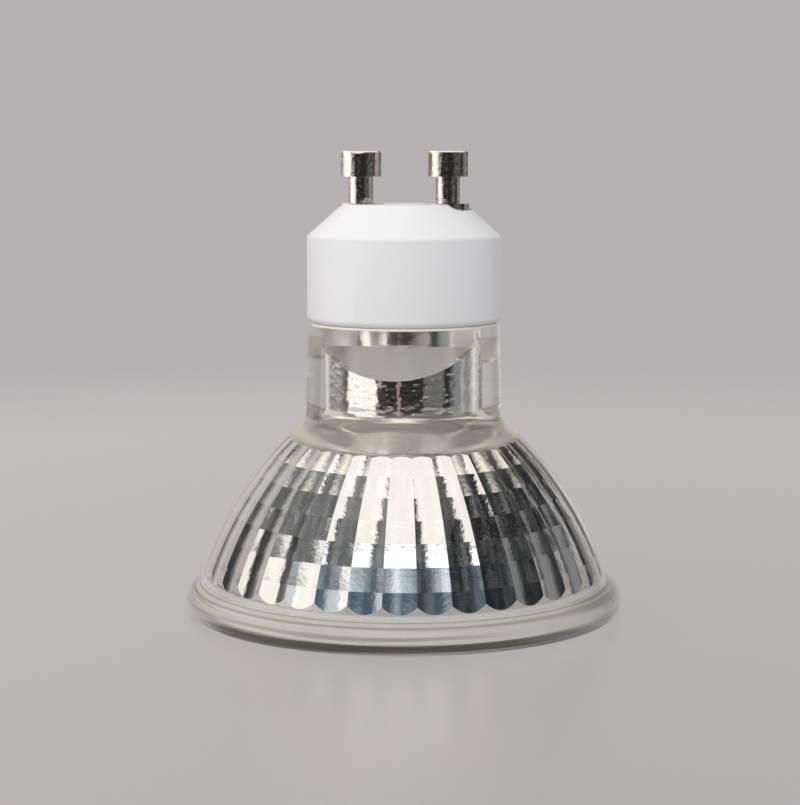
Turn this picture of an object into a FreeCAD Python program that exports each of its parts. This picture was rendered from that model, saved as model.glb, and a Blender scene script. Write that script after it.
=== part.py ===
import FreeCAD, Part
import math
import operator
import os

import Sketcher
from FreeCAD import Placement, Rotation, Vector

# Mains-voltage reflector lamp with two contact pins, standing on the rim of its reflector.
# Units are millimetres and degrees. The origin is on the lamp's axis in the plane of the rim,
# +Z runs from the rim to the pins, and the pins stand side by side along X.

# Driving sizes: cell name, value, meaning
SIZES = [
    ("rim_radius", 25.35, "widest radius of the flange"),
    ("bead_height", 2.5, "height of the rounded outer edge of the flange"),
    ("bead_curve", 2.0, "radius of that rounded edge in section"),
    ("flange_height", 3.5, "height at which the flange meets the dome"),
    ("rim_land", 2.45, "glass of the flange outside the front glass's step"),
    ("flange_lip", 1.72, "how far the flange stands out beyond the dome"),
    ("dome_curve", 39.1, "radius of the dome's outside in section"),
    ("dome_centre_drop", 7.8, "distance of that section's centre below the rim"),
    ("glass_wall", 2.0, "wall between the dome's outside and the facet corners"),
    ("neck_setback", 0.15, "how far the neck's top stays inside the ceramic base"),
    ("neck_taper", 0.35, "how much wider the neck is where it leaves the dome"),
    ("neck_length", 10.5, "length of the neck between dome and shoulder"),
    ("neck_fillet", 1.2, "hollow rounding between dome and neck"),
    ("neck_bore_radius", 6.0, "radius of the silvered hollow in the neck"),
    ("neck_bore_rounding", 0.8, "rounding at the closed end of that hollow"),
    ("notch_wall", 0.9, "glass between the clip notch's flat and the silvered hollow"),
    ("notch_flat_height", 2.0, "height of that flat below the shoulder"),
    ("notch_ramp_angle", 38.9, "slope of the clip notch's ramp"),
    ("spigot_length", 5.8, "length of the glass end inside the base"),
    ("spigot_chamfer", 0.5, "chamfer on its edge"),
    ("end_floor", 4.0, "glass left above the silvered hollow"),
    ("flute_count", 36, "flutes round the bowl"),
    ("facet_rows", 7, "rows of facets from crown to rim"),
    ("facet_top_angle", 44.66, "section angle of the uppermost row's top"),
    ("facet_step_angle", 3.96, "section angle of one row"),
    ("flute_bulge", 0.09, "rise of a flute over its width"),
    ("ring_height", 4.9, "height of the smooth ring's highest points above the rim"),
    ("ring_draft", 7.6, "draft angle of the smooth ring"),
    ("crown_slope", 32.3, "slope of the smooth crown above the flutes"),
    ("crown_margin", 0.1, "how far the crown cuts in below the flutes' corners"),
    ("crown_rounding", 1.5, "rounding between crown and neck hollow"),
    ("coat_thickness", 0.12, "thickness of the silvering"),
    ("coat_margin", 0.35, "bare glass between the silvering and the front glass's step"),
    ("glass_thickness", 1.95, "thickness of the front glass"),
    ("glass_recess", 0.35, "how far the front glass lies behind the rim"),
    ("glass_chamfer", 0.3, "chamfer of its outer edge"),
    ("glass_gap", 0.3, "sealant gap round the front glass"),
    ("glass_bed", 0.3, "sealant between the front glass's back and its step"),
    ("sealant_land", 1.2, "width of the sealant's flat land"),
    ("sealant_setback", 0.5, "how far the sealant stays behind the glass face"),
    ("seat_cement", 0.25, "cement under the ceramic base's edge"),
    ("seat_cement_setback", 0.35, "how far that cement stays inside the neck's edge"),
    ("cup_gap", 0.3, "cement gap between glass end and base"),
    ("base_radius", 11.2, "radius of the ceramic base"),
    ("base_wall", 1.7, "wall of the ceramic base round the glass end"),
    ("base_height", 13.55, "height of the ceramic base"),
    ("base_rounding", 0.8, "rounding of its lower edge"),
    ("bevel_height", 3.65, "height of its conical bevel"),
    ("bevel_width", 4.08, "width of that bevel"),
    ("bevel_rounding", 0.5, "rounding below the bevel"),
    ("roof_thickness", 4.0, "ceramic round the pins"),
    ("cup_headroom", 0.4, "space above the glass end"),
    ("tail_room", 0.9, "space between a pin's tail and the wall of the wiring space"),
    ("pin_pitch", 10.0, "distance between the pins"),
    ("pin_head_radius", 2.43, "radius of a pin's head"),
    ("pin_head_height", 2.9, "height of the head"),
    ("pin_stem_radius", 1.47, "radius of the stem"),
    ("pin_stem_length", 3.05, "length of the stem between collar and head"),
    ("pin_edge", 0.15, "chamfer of the head's top edge"),
    ("pin_dimple_radius", 1.2, "radius of the dimple in the head"),
    ("pin_dimple_depth", 0.25, "depth of the dimple"),
    ("pin_flat_depth", 0.3, "size of the small flat on the left head's front edge"),
    ("collar_radius", 2.6, "radius of the pin's collar"),
    ("collar_thickness", 1.0, "thickness of the collar"),
    ("collar_stand", 0.1, "how far the collar stands above the ceramic"),
    ("collar_gap", 0.15, "gap round the collar in its recess"),
    ("pin_hole_gap", 0.1, "gap round the stem in the ceramic"),
    ("tail_radius", 2.1, "radius of the riveted tail"),
    ("tail_thickness", 0.5, "thickness of the riveted tail"),
    ("tail_bore_depth", 3.4, "depth of the pin's wire hole"),
    ("crimp_gap", 0.05, "gap round the wire in the pin"),
    ("scoop_radius", 3.0, "radius of the scoop in the right recess's rim"),
    ("scoop_depth", 0.7, "depth of the scoop"),
    ("scoop_reach", 2.25, "distance of the scoop outwards from the pin"),
    ("pinch_width", 7.0, "width of the burner's flat seal"),
    ("pinch_thickness", 2.6, "thickness of the seal"),
    ("pinch_length", 13.7, "length of the seal"),
    ("pinch_stand", 0.5, "how far the seal stands out of the glass end"),
    ("pinch_gap", 0.3, "cement gap round the seal"),
    ("cement_cap", 0.35, "height of the cement round the seal's end"),
    ("cement_cap_radius", 5.2, "radius of that cement"),
    ("bulb_radius", 4.1, "outer radius of the quartz bulb"),
    ("bulb_wall", 0.9, "wall of the quartz bulb"),
    ("bulb_straight", 9.9, "straight length of the bulb"),
    ("bulb_overlap", 2.5, "how far bulb and seal run into each other"),
    ("tip_radius", 0.8, "radius of the sealed tip"),
    ("tip_length", 1.0, "length of the sealed tip"),
    ("seal_rod_spread", 3.4, "distance between the two wires in the seal"),
    ("foil_width", 2.0, "width of a molybdenum foil"),
    ("foil_thickness", 0.06, "thickness of the foil"),
    ("foil_length", 7.0, "length of the foil"),
    ("foil_inset", 3.0, "distance of the foil from the seal's outer end"),
    ("leg_radius", 0.2, "radius of a filament leg"),
    ("leg_bend", 0.8, "bend radius of a filament leg"),
    ("coil_radius", 0.5, "radius of the filament coil"),
    ("coil_wire_radius", 0.1, "radius of the coiled wire"),
    ("coil_pitch", 0.8, "pitch of the coil"),
    ("coil_turns", 10, "turns of the coil"),
    ("coil_lift", 1.35, "height of the coil's lower end above the centre of the bulb's round end"),
    ("coil_gap", 0.05, "gap between the coil and its legs"),
    ("lead_radius", 0.3, "radius of the outer lead wires"),
    ("lead_bend", 1.0, "bend radius of the lead wires"),
    ("lead_rise", 0.7, "straight rise of a lead above the seal"),
    ("lead_plug", 2.2, "length of the lead inside the pin"),
    ("fuse_radius", 0.55, "radius of the fuse bead"),
    ("fuse_length", 1.1, "length of the fuse bead"),
]

doc = FreeCAD.newDocument("ReflectorLamp")
sheet = doc.addObject("Spreadsheet::Sheet", "Sizes")


class Size:
    """A number together with the sheet formula that gives it."""

    def __init__(self, value, formula):
        self.value = value
        self.formula = formula

    def __add__(self, other):
        return joined(self, "+", other)

    def __sub__(self, other):
        return joined(self, "-", other)

    def __mul__(self, other):
        return joined(self, "*", other)

    def __truediv__(self, other):
        return joined(self, "/", other)

    def __neg__(self):
        return joined(ZERO, "-", self)


OPERATIONS = {"+": operator.add, "-": operator.sub, "*": operator.mul, "/": operator.truediv}


def as_size(number):
    return number if isinstance(number, Size) else Size(number, repr(number))


def joined(first, sign, second):
    first = as_size(first)
    second = as_size(second)
    value = OPERATIONS[sign](first.value, second.value)
    return Size(value, f"({first.formula} {sign} {second.formula})")


def root(size):
    return Size(math.sqrt(size.value), f"sqrt({size.formula})")


def sine(angle):
    return Size(math.sin(math.radians(angle.value)), f"sin({angle.formula})")


def cosine(angle):
    return Size(math.cos(math.radians(angle.value)), f"cos({angle.formula})")


def tangent(angle):
    return Size(math.tan(math.radians(angle.value)), f"tan({angle.formula})")


ZERO = Size(0.0, "0")
ONE = Size(1.0, "1")


class Sheet:
    """The driving sizes, each under its own name."""


def fill_sheet():
    sizes = Sheet()
    for line, (alias, value, meaning) in enumerate(SIZES, start=1):
        sheet.set(f"A{line}", meaning)
        sheet.set(f"B{line}", str(value))
        sheet.setAlias(f"B{line}", alias)
    doc.recompute()
    for alias, _, _ in SIZES:
        setattr(sizes, alias, Size(float(sheet.get(alias)), f"{sheet.Name}.{alias}"))
    return sizes


s = fill_sheet()


# Sketching: outlines are drawn corner by corner, and every corner and radius is bound to the sheet


class Arc:
    """A round side: its radius, and whether its centre lies left (+1) or right (-1) of the way."""

    def __init__(self, radius, centre_side):
        self.radius = radius
        self.centre_side = centre_side


def point_at(corner):
    return Vector(corner[0].value, corner[1].value, 0)


def arc_side(start, end, arc):
    """The arc between two points, and the numbers of its first and last vertex on the way."""
    chord = end - start
    middle = (start + end) * 0.5
    rise = math.sqrt(max(arc.radius.value ** 2 - (chord.Length / 2) ** 2, 0.0))
    left = Vector(-chord.y, chord.x, 0).normalize()
    centre = middle + left * (rise * arc.centre_side)
    first, last = (start, end) if arc.centre_side > 0 else (end, start)
    first_angle = math.atan2(first.y - centre.y, first.x - centre.x)
    last_angle = math.atan2(last.y - centre.y, last.x - centre.x)
    circle = Part.Circle(centre, Vector(0, 0, 1), arc.radius.value)
    geometry = Part.ArcOfCircle(circle, first_angle, last_angle)
    return geometry, ((1, 2) if arc.centre_side > 0 else (2, 1))


def bind(sketch, kind, places, size):
    if size is ZERO:
        axis = -2 if kind == "DistanceX" else -1
        sketch.addConstraint(Sketcher.Constraint("PointOnObject", *places[2:], axis))
        return
    number = sketch.addConstraint(Sketcher.Constraint(kind, *places, size.value))
    sketch.setExpression(f"Constraints[{number}]", size.formula)


def outline(sketch, corners, closed=True):
    """Draws sides from corner to corner. A corner is (across, up) or (across, up, Arc), where the
    Arc shapes the side that arrives there."""
    count = len(corners)
    ends = []
    for index in range(count if closed else count - 1):
        here = corners[index]
        there = corners[(index + 1) % count]
        if len(there) == 3:
            geometry, vertices = arc_side(point_at(here), point_at(there), there[2])
        else:
            geometry, vertices = Part.LineSegment(point_at(here), point_at(there)), (1, 2)
        number = sketch.addGeometry(geometry)
        ends.append((number, vertices))
        bind(sketch, "DistanceX", (-1, 1, number, vertices[0]), here[0])
        bind(sketch, "DistanceY", (-1, 1, number, vertices[0]), here[1])
        if len(there) == 3:
            radius = sketch.addConstraint(Sketcher.Constraint("Radius", number, there[2].radius.value))
            sketch.setExpression(f"Constraints[{radius}]", there[2].radius.formula)
    links = list(zip(ends, ends[1:] + ends[:1])) if closed else list(zip(ends, ends[1:]))
    for (before, before_ends), (after, after_ends) in links:
        sketch.addConstraint(Sketcher.Constraint("Coincident", before, before_ends[1], after, after_ends[0]))
    if not closed:
        number, vertices = ends[-1]
        bind(sketch, "DistanceX", (-1, 1, number, vertices[1]), corners[-1][0])
        bind(sketch, "DistanceY", (-1, 1, number, vertices[1]), corners[-1][1])


def rectangle(sketch, half_width, half_depth, centre_x=ZERO):
    low_x = centre_x - half_width
    high_x = centre_x + half_width
    outline(sketch, [(low_x, -half_depth), (high_x, -half_depth), (high_x, half_depth), (low_x, half_depth)])


def disc(sketch, radius, centre_x=ZERO, centre_y=ZERO):
    centre = Vector(centre_x.value, centre_y.value, 0)
    number = sketch.addGeometry(Part.Circle(centre, Vector(0, 0, 1), radius.value))
    bind(sketch, "DistanceX", (-1, 1, number, 3), centre_x)
    bind(sketch, "DistanceY", (-1, 1, number, 3), centre_y)
    size = sketch.addConstraint(Sketcher.Constraint("Radius", number, radius.value))
    sketch.setExpression(f"Constraints[{size}]", radius.formula)


def new_body(label):
    body = doc.addObject("PartDesign::Body", label)
    body.Label = label
    return body


def new_sketch(body, role, lift=None):
    """A sketch on one of the body's own planes, lifted along the plane's normal."""
    sketch = body.newObject("Sketcher::SketchObject", f"{body.Name}_outline")
    plane = next(item for item in body.Origin.OriginFeatures if item.Role == role)
    sketch.AttachmentSupport = [(plane, "")]
    sketch.MapMode = "FlatFace"
    if lift is not None:
        sketch.setExpression("AttachmentOffset.Base.z", lift.formula)
    return sketch


def revolve(body, corners, kind="PartDesign::Revolution"):
    sketch = new_sketch(body, "XZ_Plane")
    outline(sketch, corners)
    feature = body.newObject(kind, f"{body.Name}_turned")
    feature.Profile = sketch
    feature.ReferenceAxis = (sketch, ["V_Axis"])
    feature.Angle = 360.0
    doc.recompute()
    return feature


def pad(body, sketch, length):
    feature = body.newObject("PartDesign::Pad", f"{body.Name}_raised")
    feature.Profile = sketch
    feature.setExpression("Length", length.formula)
    doc.recompute()
    return feature


def pocket(body, sketch, length=None, up=False):
    """Cuts downwards from the sketch for the given length, or through all both ways."""
    before = body.Shape.Volume
    feature = body.newObject("PartDesign::Pocket", f"{body.Name}_cut")
    feature.Profile = sketch
    if length is None:
        feature.Type = "ThroughAll"
        feature.SideType = "Symmetric"
    else:
        feature.setExpression("Length", length.formula)
        feature.Reversed = up
    doc.recompute()
    if not body.Shape.Volume < before:
        raise RuntimeError(f"{feature.Name} removes nothing")
    return feature


def round_edges(body, radius, wanted):
    """Rounds the circular edges of the tip that the test picks by their radius and height."""
    names = []
    for number, edge in enumerate(body.Shape.Edges, start=1):
        if isinstance(edge.Curve, Part.Circle) and wanted(edge.Curve.Radius, edge.Curve.Center.z):
            names.append(f"Edge{number}")
    if not names:
        raise RuntimeError(f"no edge to round on {body.Label}")
    base = body.Tip
    feature = body.newObject("PartDesign::Fillet", f"{body.Name}_rounded")
    feature.Base = (base, names)
    feature.setExpression("Radius", radius.formula)
    body.Tip = feature
    doc.recompute()


def near(value, size):
    return abs(value - size.value) < 1e-3


def boolean(kind, label, base, tool):
    feature = doc.addObject(kind, label)
    feature.Label = label
    feature.Base = base
    feature.Tool = tool
    doc.recompute()
    return feature


# Places that several pieces share

rabbet_radius = s.rim_radius - s.rim_land
rabbet_depth = s.glass_recess + s.glass_thickness + s.glass_bed
coat_end = rabbet_depth + s.coat_margin
cup_radius = s.base_radius - s.base_wall
spigot_radius = cup_radius - s.cup_gap
neck_top_radius = s.base_radius - s.neck_setback
neck_low_radius = neck_top_radius + s.neck_taper
notch_flat = s.neck_bore_radius + s.notch_wall

# The dome's section is an arc about this centre, and meets the flange inside its lip. The facets'
# corners lie on a smaller arc about the same centre.
dome_centre_z = -s.dome_centre_drop
flange_rise = s.flange_height - dome_centre_z
dome_foot_r = s.rim_radius - s.flange_lip
dome_centre_r = dome_foot_r - root(s.dome_curve * s.dome_curve - flange_rise * flange_rise)
mirror_curve = s.dome_curve - s.glass_wall

# The rounding between dome and neck touches both.
neck_fillet_r = neck_low_radius + s.neck_fillet
fillet_reach = s.dome_curve + s.neck_fillet
fillet_run = neck_fillet_r - dome_centre_r
neck_start = dome_centre_z + root(fillet_reach * fillet_reach - fillet_run * fillet_run)
dome_end_r = dome_centre_r + fillet_run * s.dome_curve / fillet_reach
dome_end_z = dome_centre_z + (neck_start - dome_centre_z) * s.dome_curve / fillet_reach

shoulder = neck_start + s.neck_length
spigot_top = shoulder + s.spigot_length
neck_bore_end = spigot_top - s.end_floor

base_bottom = shoulder + s.seat_cement
base_top = base_bottom + s.base_height
roof_underside = base_top - s.roof_thickness
pin_x = s.pin_pitch / 2
recess_floor = base_top + s.collar_stand - s.collar_thickness
collar_top = recess_floor + s.collar_thickness
head_bottom = collar_top + s.pin_stem_length
pin_top = head_bottom + s.pin_head_height
cavity_radius = pin_x + s.tail_radius + s.tail_room

pinch_top = spigot_top + s.pinch_stand
pinch_bottom = pinch_top - s.pinch_length
bulb_high = pinch_bottom - s.bulb_radius + s.bulb_overlap
bulb_low = bulb_high - s.bulb_straight
rod_x = s.seal_rod_spread / 2
foil_top = pinch_top - s.foil_inset
foil_bottom = foil_top - s.foil_length
coil_low = bulb_low + s.coil_lift
coil_top = coil_low + s.coil_pitch * s.coil_turns
lead_level = pinch_top + s.lead_rise + s.lead_bend

SIDES = (("left", -1), ("right", 1))


# Reflector: one pressing of clear glass with a flange, a fluted bowl, a neck and an end for the base


def make_reflector_blank():
    body = new_body("reflector_blank")
    bead_half = s.bead_height / 2
    bead_sag = s.bead_curve - root(s.bead_curve * s.bead_curve - bead_half * bead_half)
    bead_r = s.rim_radius - bead_sag
    revolve(body, [
        (ZERO, rabbet_depth),
        (rabbet_radius, rabbet_depth),
        (rabbet_radius, ZERO),
        (bead_r, ZERO),
        (bead_r, s.bead_height, Arc(s.bead_curve, 1)),
        (dome_foot_r, s.flange_height),
        (dome_end_r, dome_end_z, Arc(s.dome_curve, 1)),
        (neck_low_radius, neck_start, Arc(s.neck_fillet, -1)),
        (neck_top_radius, shoulder),
        (spigot_radius, shoulder),
        (spigot_radius, spigot_top - s.spigot_chamfer),
        (spigot_radius - s.spigot_chamfer, spigot_top),
        (ZERO, spigot_top),
    ])
    # A clip notch in front and one behind: a flat under the shoulder, then a ramp that runs out
    notch = new_sketch(body, "YZ_Plane")
    outside = neck_low_radius + s.neck_fillet
    ramp_top = shoulder - s.notch_flat_height
    ramp_end = ramp_top - (outside - notch_flat) * tangent(s.notch_ramp_angle)
    for side in (-1, 1):
        outline(notch, [
            (notch_flat * side, shoulder),
            (outside * side, shoulder),
            (outside * side, ramp_end),
            (notch_flat * side, ramp_top),
        ])
    pocket(body, notch)
    # The slot for the burner's seal, down into the silvered hollow
    slot = new_sketch(body, "XY_Plane", spigot_top)
    half_width = s.pinch_width / 2 + s.pinch_gap
    half_depth = s.pinch_thickness / 2 + s.pinch_gap
    rectangle(slot, half_width, half_depth)
    pocket(body, slot, s.end_floor + s.neck_bore_rounding)
    return body


def make_hollow_blank(label, skin):
    """The bowl's hollow without its flutes: smooth ring, crown cone and neck hollow. The skin makes
    it smaller all over."""
    body = new_body(label)
    ring_rise = s.ring_height - dome_centre_z
    ring_r = dome_centre_r + root(mirror_curve * mirror_curve - ring_rise * ring_rise)
    ring_r = ring_r - skin / cosine(s.ring_draft)
    ring_slope = tangent(s.ring_draft)
    crown_z = dome_centre_z + mirror_curve * sine(s.facet_top_angle)
    crown_r = dome_centre_r + mirror_curve * cosine(s.facet_top_angle) - s.crown_margin
    crown_r = crown_r - skin / sine(s.crown_slope)
    crown_run = ONE / tangent(s.crown_slope)
    # Where the ring's line and the crown's line meet, outside the flutes
    meet_z = (crown_r - ring_r + crown_z * crown_run - s.ring_height * ring_slope) / (crown_run - ring_slope)
    meet_r = ring_r - (meet_z - s.ring_height) * ring_slope
    mouth_z = rabbet_depth / 2
    mouth_r = ring_r + (s.ring_height - mouth_z) * ring_slope
    bore_r = s.neck_bore_radius - skin
    bore_z = crown_z + (crown_r - bore_r) / crown_run
    end_z = neck_bore_end - skin
    revolve(body, [
        (ZERO, mouth_z),
        (mouth_r, mouth_z),
        (meet_r, meet_z),
        (bore_r, bore_z),
        (bore_r, end_z),
        (ZERO, end_z),
    ])
    round_edges(body, s.crown_rounding + skin, lambda r, z: near(r, bore_r) and near(z, bore_z))
    round_edges(body, s.neck_bore_rounding - skin, lambda r, z: near(r, bore_r) and near(z, end_z))
    return body


def flute_section(curve, angle, height=None):
    """A closed ring of arcs, each bulging towards the axis between two corners of the flutes."""
    corner_r = dome_centre_r.value + curve * math.cos(math.radians(angle))
    level = dome_centre_z.value + curve * math.sin(math.radians(angle)) if height is None else height
    count = int(s.flute_count.value)
    half = math.pi / count
    width = 2 * corner_r * math.sin(half)
    middle_r = corner_r * math.cos(half) - s.flute_bulge.value * width
    sides = []
    for flute in range(count):
        start = 2 * half * flute
        ends = [(corner_r, start), (middle_r, start + half), (corner_r, start + 2 * half)]
        sides.append(Part.Arc(*[Vector(r * math.cos(a), r * math.sin(a), level) for r, a in ends]).toShape())
    return Part.Wire(sides)


def make_flutes(label, skin):
    """Rows of facets: straight from level to level, and carried on past both ends of the bowl."""
    curve = mirror_curve.value - skin.value
    top = s.facet_top_angle.value
    step = s.facet_step_angle.value
    angles = [top - step * row for row in range(-2, int(s.facet_rows.value) + 2)]
    sections = [flute_section(curve, angles[0], spigot_top.value)]
    sections += [flute_section(curve, angle) for angle in angles]
    feature = doc.addObject("Part::Feature", label)
    feature.Label = label
    feature.Shape = Part.makeLoft(sections, True, True)
    return feature


def make_hollow(label, skin):
    blank = make_hollow_blank(f"{label}_blank", skin)
    flutes = make_flutes(f"{label}_flutes", skin)
    return boolean("Part::Common", label, blank, flutes)


def make_mirror_coating(outer, inner):
    """The silvering lies on the glass from the end of the neck hollow, where the burner's seal goes
    through, down to just above the front glass."""
    below = doc.addObject("Part::Cylinder", "below_coat")
    below.setExpression("Radius", s.rim_radius.formula)
    below.setExpression("Height", coat_end.formula)
    above = boolean("Part::Cut", "coated_hollow", outer, below)
    skin = boolean("Part::Cut", "coat_skin", above, inner)
    opening = doc.addObject("Part::Box", "seal_opening")
    width = s.pinch_width + s.pinch_gap * 2
    depth = s.pinch_thickness + s.pinch_gap * 2
    opening.setExpression("Length", width.formula)
    opening.setExpression("Width", depth.formula)
    opening.setExpression("Height", s.end_floor.formula)
    opening.setExpression("Placement.Base.x", (-width / 2).formula)
    opening.setExpression("Placement.Base.y", (-depth / 2).formula)
    opening.setExpression("Placement.Base.z", (neck_bore_end - s.neck_bore_rounding).formula)
    return boolean("Part::Cut", "mirror_coating", skin, opening)


# Front glass and its sealant


def make_front_glass():
    body = new_body("front_glass")
    edge_r = rabbet_radius - s.glass_gap
    face = s.glass_recess
    back = s.glass_recess + s.glass_thickness
    revolve(body, [
        (ZERO, face),
        (edge_r - s.glass_chamfer, face),
        (edge_r, face + s.glass_chamfer),
        (edge_r, back),
        (ZERO, back),
    ])
    return body


def make_front_sealant():
    body = new_body("front_sealant")
    edge_r = rabbet_radius - s.glass_gap
    back = s.glass_recess + s.glass_thickness
    low = s.glass_recess + s.sealant_setback
    revolve(body, [
        (edge_r, low),
        (rabbet_radius, low),
        (rabbet_radius, rabbet_depth),
        (edge_r - s.sealant_land, rabbet_depth),
        (edge_r - s.sealant_land, back),
        (edge_r, back),
    ])
    return body


# Ceramic base: a bevelled cup with recesses for the pins' collars


def make_ceramic_base():
    body = new_body("ceramic_base")
    bevel_bottom = base_top - s.bevel_height
    top_r = s.base_radius - s.bevel_width
    cup_top = spigot_top + s.cup_headroom
    revolve(body, [
        (cup_radius, base_bottom),
        (s.base_radius, base_bottom),
        (s.base_radius, bevel_bottom),
        (top_r, base_top),
        (ZERO, base_top),
        (ZERO, roof_underside),
        (cavity_radius, roof_underside),
        (cavity_radius, cup_top),
        (cup_radius, cup_top),
    ])
    round_edges(body, s.base_rounding, lambda r, z: near(r, s.base_radius) and near(z, base_bottom))
    round_edges(body, s.bevel_rounding, lambda r, z: near(r, s.base_radius) and near(z, bevel_bottom))
    recesses = new_sketch(body, "XY_Plane", base_top)
    holes = new_sketch(body, "XY_Plane", base_top)
    for _, sign in SIDES:
        disc(recesses, s.collar_radius + s.collar_gap, pin_x * sign)
        disc(holes, s.pin_stem_radius + s.pin_hole_gap, pin_x * sign)
    pocket(body, recesses, base_top - recess_floor)
    pocket(body, holes, s.roof_thickness)
    # The front of the right recess's rim is scooped away
    scoop = new_sketch(body, "XZ_Plane")
    disc(scoop, s.scoop_radius, pin_x + s.scoop_reach, base_top - s.scoop_depth + s.scoop_radius)
    pocket(body, scoop, s.base_radius, up=True)
    return body


def make_base_cement():
    """Cement round the glass end and under the ceramic's edge."""
    body = new_body("base_cement")
    top = spigot_top - s.spigot_chamfer
    revolve(body, [
        (spigot_radius, shoulder),
        (neck_top_radius - s.seat_cement_setback, shoulder),
        (neck_top_radius - s.seat_cement_setback, base_bottom),
        (cup_radius, base_bottom),
        (cup_radius, top),
        (spigot_radius, top),
    ])
    return body


# Contact pins


def make_pin(side, sign):
    body = new_body(f"pin_{side}")
    stem_bottom = roof_underside - s.tail_thickness
    bore_r = s.lead_radius + s.crimp_gap
    bore_top = stem_bottom + s.tail_bore_depth
    dimple = (s.pin_dimple_radius * s.pin_dimple_radius + s.pin_dimple_depth * s.pin_dimple_depth)
    dimple_curve = dimple / (s.pin_dimple_depth * 2)
    revolve(body, [
        (ZERO, bore_top),
        (bore_r, bore_top),
        (bore_r, stem_bottom),
        (s.tail_radius, stem_bottom),
        (s.tail_radius, roof_underside),
        (s.pin_stem_radius, roof_underside),
        (s.pin_stem_radius, recess_floor),
        (s.collar_radius, recess_floor),
        (s.collar_radius, collar_top),
        (s.pin_stem_radius, collar_top),
        (s.pin_stem_radius, head_bottom),
        (s.pin_head_radius, head_bottom),
        (s.pin_head_radius, pin_top - s.pin_edge),
        (s.pin_head_radius - s.pin_edge, pin_top),
        (s.pin_dimple_radius, pin_top),
        (ZERO, pin_top - s.pin_dimple_depth, Arc(dimple_curve, -1)),
    ])
    if side == "left":
        cut_pin_flat(body)
    body.setExpression("Placement.Base.x", (pin_x * sign).formula)
    return body


def cut_pin_flat(body):
    """A small slanting flat on the front of the head's top edge."""
    sketch = new_sketch(body, "YZ_Plane")
    inner = s.pin_flat_depth - s.pin_head_radius
    outer = -s.pin_head_radius - s.pin_flat_depth
    outline(sketch, [
        (inner, pin_top),
        (-s.pin_head_radius, pin_top - s.pin_flat_depth),
        (outer, pin_top - s.pin_flat_depth),
        (outer, pin_top + s.pin_flat_depth),
        (inner, pin_top + s.pin_flat_depth),
    ])
    pocket(body, sketch)


# Burner: a quartz bulb whose flat seal holds two foils with a wire at each end


def bulb_outline(radius, tip):
    """Half section of a bulb with round ends, and a small tip at the lower end if one is asked for."""
    if not tip:
        return [
            (ZERO, bulb_low - radius),
            (radius, bulb_low, Arc(radius, 1)),
            (radius, bulb_high),
            (ZERO, bulb_high + radius, Arc(radius, 1)),
        ]
    tip_join = bulb_low - root(radius * radius - s.tip_radius * s.tip_radius)
    tip_end = bulb_low - radius - s.tip_length
    return [
        (ZERO, tip_end),
        (s.tip_radius, tip_end + s.tip_radius, Arc(s.tip_radius, 1)),
        (s.tip_radius, tip_join),
        (radius, bulb_low, Arc(radius, 1)),
        (radius, bulb_high),
        (ZERO, bulb_high + radius, Arc(radius, 1)),
    ]


def make_burner_blank():
    body = new_body("burner_blank")
    revolve(body, bulb_outline(s.bulb_radius, tip=True))
    seal = new_sketch(body, "XY_Plane", pinch_bottom)
    rectangle(seal, s.pinch_width / 2, s.pinch_thickness / 2)
    pad(body, seal, s.pinch_length)
    revolve(body, bulb_outline(s.bulb_radius - s.bulb_wall, tip=False), kind="PartDesign::Groove")
    return body


def make_wire(label, radius, path):
    """A round wire along straight runs and quarter bends in the plane of the pins."""
    body = new_body(label)
    start_x, start_z = path[0][:2]
    spine = new_sketch(body, "XZ_Plane")
    outline(spine, path, closed=False)
    section = new_sketch(body, "XY_Plane", start_z)
    disc(section, radius, start_x)
    feature = body.newObject("PartDesign::AdditivePipe", f"{body.Name}_drawn")
    feature.Profile = section
    feature.Spine = (spine, [])
    doc.recompute()
    return body


def make_foil(side, sign):
    foil = doc.addObject("Part::Box", f"foil_{side}")
    foil.Label = f"foil_{side}"
    foil.setExpression("Length", s.foil_width.formula)
    foil.setExpression("Width", s.foil_thickness.formula)
    foil.setExpression("Height", s.foil_length.formula)
    foil.setExpression("Placement.Base.x", (rod_x * sign - s.foil_width / 2).formula)
    foil.setExpression("Placement.Base.y", (-s.foil_thickness / 2).formula)
    foil.setExpression("Placement.Base.z", foil_bottom.formula)
    return foil


def make_filament_leg(side, sign, level):
    """From the foil down to the given level, then across to the coil's axis."""
    x = rod_x * sign
    bent_x = (rod_x - s.leg_bend) * sign
    return make_wire(f"filament_leg_{side}", s.leg_radius, [
        (x, foil_bottom),
        (x, level + s.leg_bend),
        (bent_x, level, Arc(s.leg_bend, -sign)),
        (ZERO, level),
    ])


def make_lead_wire(side, sign):
    """From the foil up out of the seal, outwards, and up into the pin."""
    x = rod_x * sign
    return make_wire(f"lead_wire_{side}", s.lead_radius, [
        (x, foil_top),
        (x, lead_level - s.lead_bend),
        ((rod_x + s.lead_bend) * sign, lead_level, Arc(s.lead_bend, -sign)),
        ((pin_x - s.lead_bend) * sign, lead_level),
        (pin_x * sign, lead_level + s.lead_bend, Arc(s.lead_bend, sign)),
        (pin_x * sign, roof_underside - s.tail_thickness + s.lead_plug),
    ])


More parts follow.
